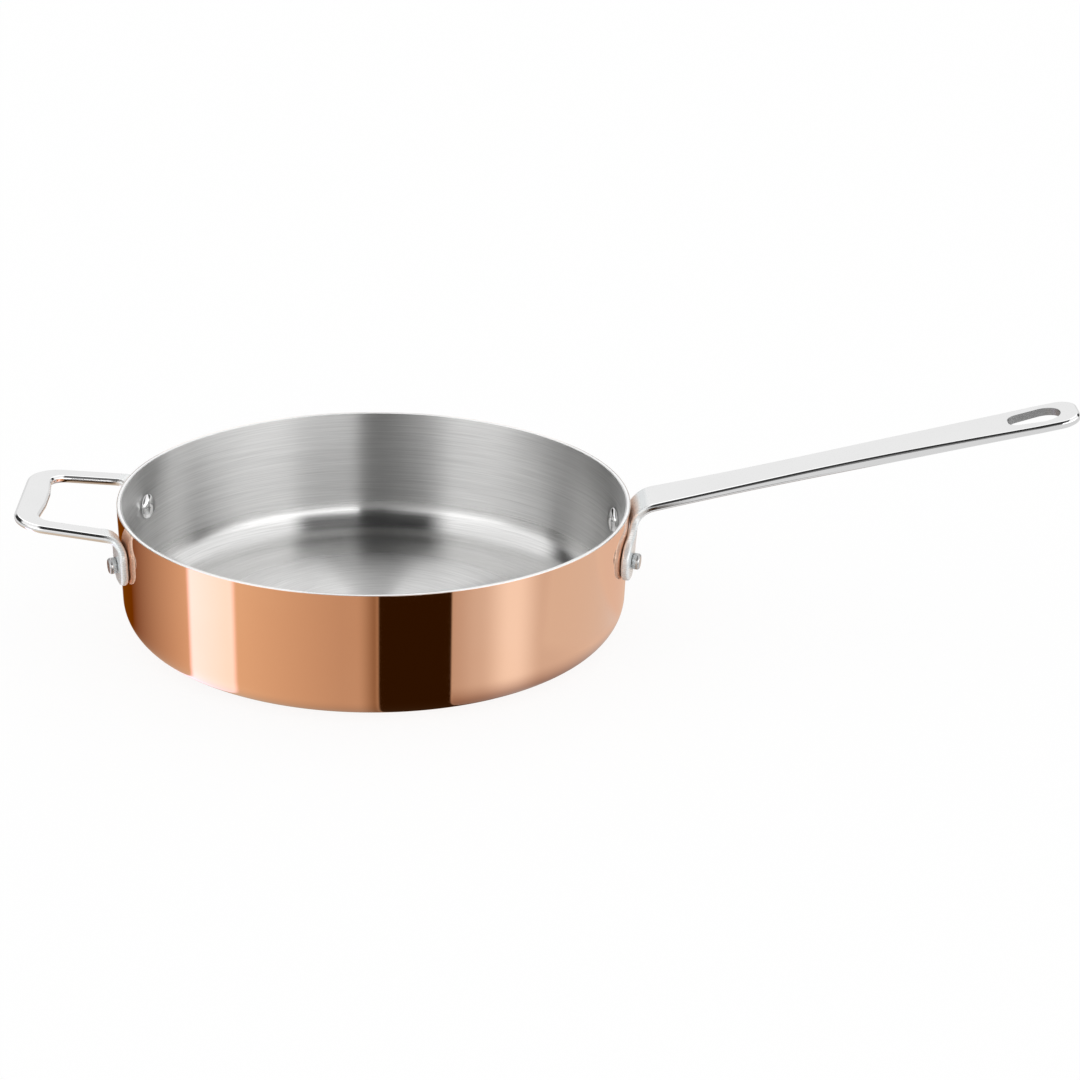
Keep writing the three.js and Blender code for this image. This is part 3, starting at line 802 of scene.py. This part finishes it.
def helper_handle():
    """A loop with a grip and two legs, each folded down into a riveted tab."""
    angle = rivet_angle(HELPER_RIVET_SPACING)
    rise = math.tan(HELPER_RISE)
    corner = BODY_HEIGHT - HELPER_CORNER_DROP
    fold = WallFold(math.atan(rise * math.cos(angle)), HELPER_BEND_RADIUS, HELPER_THICKNESS,
                    lambda across: corner - across * math.sin(angle) * rise)
    radial = Vector((math.cos(angle), math.sin(angle)))
    tangent = Vector((-math.sin(angle), math.cos(angle)))

    def flat(along, across):
        return radial * fold.radius_at(along) + tangent * across

    def tab(along, across, radius):
        return (*flat(along, across), radius)

    def developed(p):
        upper = Vector((p.x, abs(p.y)))
        return fold.along_out(upper.dot(radial)), upper.dot(tangent)

    tab_low = fold.along_at(RIVET_HEIGHT - HELPER_TAB_BELOW_RIVET)
    half_tab = HELPER_TAB_WIDTH / 2
    taper = math.tan(HELPER_TAPER)

    def leg_out(x):
        return HELPER_RIVET_SPACING / 2 + HELPER_LEG_OUTSIDE - (x - RIM_RADIUS) * taper

    def leg_in(x):
        return leg_out(x) - HELPER_LEG_WIDTH

    grip_out = RIM_RADIUS + HELPER_LENGTH
    grip_in = grip_out - HELPER_GRIP_WIDTH
    flare_in = flat(fold.bend_length, -half_tab).x
    flare_out = flat(fold.bend_length, half_tab).x
    outline = rounded(mirrored([
        (grip_out, leg_out(grip_out), HELPER_CORNER_ROUND),
        (flare_out, leg_out(flare_out), HELPER_FLARE_ROUND),
        tab(0, half_tab, HELPER_FLARE_ROUND),
        tab(tab_low, half_tab, HELPER_TAB_ROUND),
        tab(tab_low, -half_tab, HELPER_TAB_ROUND),
        tab(0, -half_tab, HELPER_FLARE_ROUND),
        (flare_in, leg_in(flare_in), HELPER_FLARE_ROUND),
        (grip_in, leg_in(grip_in), HELPER_INSIDE_ROUND),
        (grip_in - HELPER_GRIP_BULGE, HELPER_BULGE_WIDTH / 2, HELPER_BULGE_ROUND),
    ]))
    rows = spaced(tab_low, 0, FLANGE_GRID)[:-1] + spaced(0, fold.bend_length, BEND_GRID)
    near = [flat(along, across) for along in rows for across in spaced(-half_tab, half_tab, FLANGE_GRID)]
    inside = [Vector((p.x, side * p.y)) for p in near for side in (1, -1)]

    def place(p):
        out, sideways, z = fold.place(*developed(p), p.z)
        plan = radial * out + tangent * sideways
        return Vector((-plan.x, -plan.y if p.y < 0 else plan.y, z))

    return Blank(outline, [], HELPER_THICKNESS, HELPER_EDGE_ROUND, inside).formed("helper_loop", place)


def stands_for(made, slot, *nodes):
    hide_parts(*nodes)
    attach(made, "root")


core_depth = COPPER_THICKNESS + BOND_LINE
liner_depth = core_depth + CORE_THICKNESS + BOND_LINE
stands_for(body_sheet("copper_skin", 0.0, COPPER_THICKNESS, COPPER), "copper", "copper_shell")
stands_for(body_sheet("core_sheet", core_depth, CORE_THICKNESS, CORE), "core", "aluminium_core")
stands_for(body_sheet("lining", liner_depth, LINER_THICKNESS, LINER), "liner", "steel_liner")
stands_for(long_handle(), "handle_steel", "long_handle")
stands_for(helper_handle(), "handle_steel", "helper_handle")
stands_for(
    riveting(), "rivet_steel",
    "long_handle_rivet_near", "long_handle_rivet_far", "helper_handle_rivet_near", "helper_handle_rivet_far",
)


# Camera

CAMERA_DISTANCE = 1.603
CAMERA_LENS = 104.73
CAMERA_SENSOR = 36
CAMERA_DOWN = math.radians(21.69)
CAMERA_TURN = math.radians(-1.19)
CAMERA_ROLL = math.radians(1.06)
CAMERA_AIM = Vector((84.37 * MM, 0, 46.12 * MM))


def add_camera():
    data = bpy.data.cameras.new("camera")
    data.lens = CAMERA_LENS
    data.sensor_width = CAMERA_SENSOR
    data.clip_start = 0.05
    data.clip_end = 50
    camera = bpy.data.objects.new("camera", data)
    camera.matrix_world = (
        Matrix.Rotation(CAMERA_TURN, 4, "Z")
        @ Matrix.Translation(CAMERA_AIM)
        @ Matrix.Rotation(math.pi / 2 - CAMERA_DOWN, 4, "X")
        @ Matrix.Rotation(CAMERA_ROLL, 4, "Z")
        @ Matrix.Translation((0, 0, CAMERA_DISTANCE))
    )
    bpy.context.scene.collection.objects.link(camera)
    bpy.context.scene.camera = camera


# Table

TABLE_REACH = 20.0
TABLE_FROM = 275 * MM
TABLE_SOFT = 10 * MM
BESIDE_TO = RIM_RADIUS + 20 * MM
BESIDE_NEAR = -105 * MM
TABLE_PAINT = 0.97
TABLE_GLOW = 0.9
TABLE_MIRRORED = 0.75


def light_path(tree):
    path = tree.node("ShaderNodeLightPath")
    return [Wire(tree, path.outputs[name]) for name in ("Is Camera Ray", "Is Glossy Ray")]


def add_floor():
    """White table with a trace of shadow. Close to the pan the metal looks past it to the studio's panels."""
    mesh = bpy.data.meshes.new("floor")
    corners = [(-TABLE_REACH, -TABLE_REACH, 0), (TABLE_REACH, -TABLE_REACH, 0),
               (TABLE_REACH, TABLE_REACH, 0), (-TABLE_REACH, TABLE_REACH, 0)]
    mesh.from_pydata(corners, [], [(0, 1, 2, 3)])
    floor = piece("floor", mesh)
    paint = bpy.data.materials.new("floor_paint")
    paint.use_nodes = True
    paint.node_tree.nodes.clear()
    tree = Tree(paint.node_tree)
    seen, mirrored_ray = light_path(tree)
    x, y, _ = tree.parts(object_place(tree))
    around = tree.smooth(from_axis(x, y), TABLE_FROM - TABLE_SOFT, TABLE_FROM + TABLE_SOFT)
    near = tree.smooth(y, BESIDE_NEAR - TABLE_SOFT, BESIDE_NEAR + TABLE_SOFT)
    far = tree.smooth(y, -TABLE_SOFT, TABLE_SOFT)
    beside = tree.smooth(x, RIM_RADIUS, BESIDE_TO) * near * (1 - far)
    matt = tree.wire("ShaderNodeBsdfDiffuse", None, {"Color": grey(TABLE_PAINT)})
    glow = tree.wire("ShaderNodeEmission", None, {"Color": grey(1.0), "Strength": 1.0})
    shade = tree.wire("ShaderNodeEmission", None, {"Color": grey(TABLE_MIRRORED), "Strength": 1.0})
    clear = tree.wire("ShaderNodeBsdfTransparent", None, {"Color": grey(1.0)})
    plain = tree.wire("ShaderNodeMixShader", None, {0: seen * TABLE_GLOW, 1: matt, 2: glow})
    shown = tree.wire("ShaderNodeMixShader", None, {0: around.math("MAXIMUM", beside), 1: clear, 2: shade})
    surface = tree.wire("ShaderNodeMixShader", None, {0: mirrored_ray, 1: plain, 2: shown})
    tree.node("ShaderNodeOutputMaterial", None, {"Surface": surface})
    mesh.materials.append(paint)


# Studio panels, bounded in degrees of turn and in linear colours

STUDIO_TURN = math.radians(2.05)
STUDIO_LIFT = math.radians(22.06)
STUDIO_PARALLAX = math.radians(5.4)
DEGREES = 180 / math.pi

STRIP_FROM = -41.3
CARD_FROM = -29.0
BLACK_FROM = 2.7
RIGHT_FROM = 18.3
ALL_ROUND = 181
LEFT_END = (0.17, 0.045, 0.0, 1)
LEFT_WALL = (0.74, 0.58, 0.44, 1)
STRIP_LEFT = (1.75, 1.55, 2.03, 1)
STRIP_RIGHT = (1.45, 1.36, 1.6, 1)
CARD_LEFT = (0.8, 0.67, 0.52, 1)
CARD_RIGHT = (0.58, 0.46, 0.36, 1)
CARD_EDGE = (0.26, 0.16, 0.09, 1)
BLACK_CARD = (0.028, 0.011, 0.001, 1)
RIGHT_EDGE = (0.58, 0.52, 0.48, 1)
RIGHT_WALL = (0.71, 0.7, 0.7, 1)
RIGHT_FAR = (0.79, 0.78, 0.77, 1)
RIGHT_END = (0.77, 0.53, 0.37, 1)
# Dark brown below on the right: a painted shadow of the pan on the table, as the metal sees it
PAINTED_SHADOW_RIGHT = (0.22, 0.1, 0.05, 1)
GLINT = (1.0, 1.08, 1.16, 1)
# Near black straight below: a painted shadow of the pan on the table, as the metal sees it
PAINTED_SHADOW_BELOW = (0.05, 0.03, 0.02, 1)
GRAZING = (0.62, 0.4, 0.27, 1)

OPENING_TURN = 5.8
BOX_RIGHT = (21, 60, 3)
BOX_LEFT = (-48, -14, 4)
BOX_LOW_LEVEL = 1.2
BOX_HIGH_LEVEL = 0.98
GAP_LEVEL = 0.03
SKY_LEVEL = 0.92


def between(tree, value, start, stop, soft):
    return tree.smooth(value, start - soft, start + soft) - tree.smooth(value, stop - soft, stop + soft)


def low_panels(tree, turn, lift, reach):
    """Panels round the pan at the height of its wall, darkened below by a painted shadow of the pan on the
    table.
    """
    low = tree.mixed(tree.ramp(turn, -66, -42, 0, 1), LEFT_END, LEFT_WALL)
    card = tree.mixed(tree.ramp(turn, -27, -5, 0, 1), CARD_LEFT, CARD_RIGHT)
    card = tree.mixed(tree.smooth(turn, -2, 3), card, CARD_EDGE)
    strip = tree.mixed(tree.ramp(turn, -41, -31, 0, 1), STRIP_LEFT, STRIP_RIGHT)
    right = tree.mixed(tree.smooth(turn, 18, 25), RIGHT_EDGE, RIGHT_WALL)
    right = tree.mixed(tree.ramp(turn, 44, 60, 0, 1), right, RIGHT_FAR)
    right = tree.mixed(tree.ramp(turn, 58, 86, 0, 1), right, RIGHT_END)
    right = tree.mixed(tree.smooth(turn, 24, 32) - tree.smooth(turn, 33, 41), right, GLINT)
    # Painted shadow of the pan on the table, seen below on the right
    right = tree.mixed(tree.smooth(0 - lift, 0.05, 0.7) * 0.65, right, PAINTED_SHADOW_RIGHT)
    for start, stop, soft, colour in (
        (CARD_FROM, BLACK_FROM, 1.0, card),
        (STRIP_FROM, CARD_FROM, 0.9, strip),
        (BLACK_FROM, RIGHT_FROM, 0.3, BLACK_CARD),
        (RIGHT_FROM, ALL_ROUND, 0.4, right),
    ):
        low = tree.mixed(between(tree, turn, start, stop, soft), low, colour)
    # Painted shadow of the pan on the table, seen straight below
    low = tree.mixed(tree.smooth(0 - lift, 0.4, 0.95) * 0.35, low, PAINTED_SHADOW_BELOW)
    return tree.mixed(tree.smooth(reach, 0.05, 0.25), GRAZING, low)


def high_panels(tree, turn, lift):
    """Level of the white panels above: a band, then softboxes with dark gaps, then the sky."""
    left = tree.ramp(turn, -17, 0, 1.9, 0.14) - (1 - tree.smooth(turn, -46, -24)) * 1.85
    right = tree.ramp(turn, 6, 33, 2.3, 2.5)
    right = right - tree.smooth(turn, 44, 54) * 1.1 - tree.smooth(turn, 60, 70) * 1.25
    band = left + (right - left) * tree.smooth(turn, OPENING_TURN - 0.4, OPENING_TURN + 0.4)
    boxes = between(tree, turn, *BOX_RIGHT) + between(tree, turn, *BOX_LEFT)
    sides = tree.smooth(turn.math("ABSOLUTE"), 70, 80)
    gap = GAP_LEVEL + between(tree, turn, 6, 60, 0.5) * 0.12 + sides * 0.75
    overhead = gap + (tree.ramp(lift, 0.45, 0.62, BOX_LOW_LEVEL, BOX_HIGH_LEVEL) - gap) * boxes
    level = band + (overhead - band) * tree.smooth(lift, 0.39, 0.45)
    sky = SKY_LEVEL + between(tree, turn, -70, 70, 10) * (1 - tree.smooth(lift, 0.98, 1.0)) * 0.9
    level = level + (sky - level) * tree.smooth(lift, 0.93, 0.96)
    return tree.vector(level, level, level)


def add_studio():
    """Panels round the pan. Each is placed by the turn, in degrees towards the long handle, and the lift
    of a mirror that would show it at the studio's viewing angle."""
    world = bpy.data.worlds.new("studio")
    world.use_nodes = True
    world.node_tree.nodes.clear()
    bpy.context.scene.world = world
    tree = Tree(world.node_tree)
    x, y, z = tree.parts(tree.wire("ShaderNodeTexCoord", None, None, "Generated"))
    level_view = math.cos(STUDIO_LIFT)
    front = math.cos(STUDIO_TURN) * level_view - y
    side = x + math.sin(STUDIO_TURN) * level_view
    up = z + math.sin(STUDIO_LIFT)
    reach = (side * side + front * front + up * up).math("SQRT")
    lift = up / reach
    turn = side.math("ARCTAN2", front) * DEGREES
    near_side = side - turn.math("RADIANS").math("SINE") * (math.sin(STUDIO_PARALLAX) * level_view)
    wall_turn = near_side.math("ARCTAN2", front) * DEGREES
    low = low_panels(tree, wall_turn, lift, reach)
    panels = tree.mixed(tree.smooth(lift, 0.05, 0.1), low, high_panels(tree, turn, lift))
    seen, mirrored_ray = light_path(tree)
    light = tree.mixed(mirrored_ray, grey(1.0), panels)
    light = tree.mixed(seen, light, grey(1.0))
    shining = tree.wire("ShaderNodeBackground", None, {"Color": light})
    tree.node("ShaderNodeOutputWorld", None, {"Surface": shining})


add_camera()
add_floor()
add_studio()
bpy.context.scene.view_settings.view_transform = "Standard"
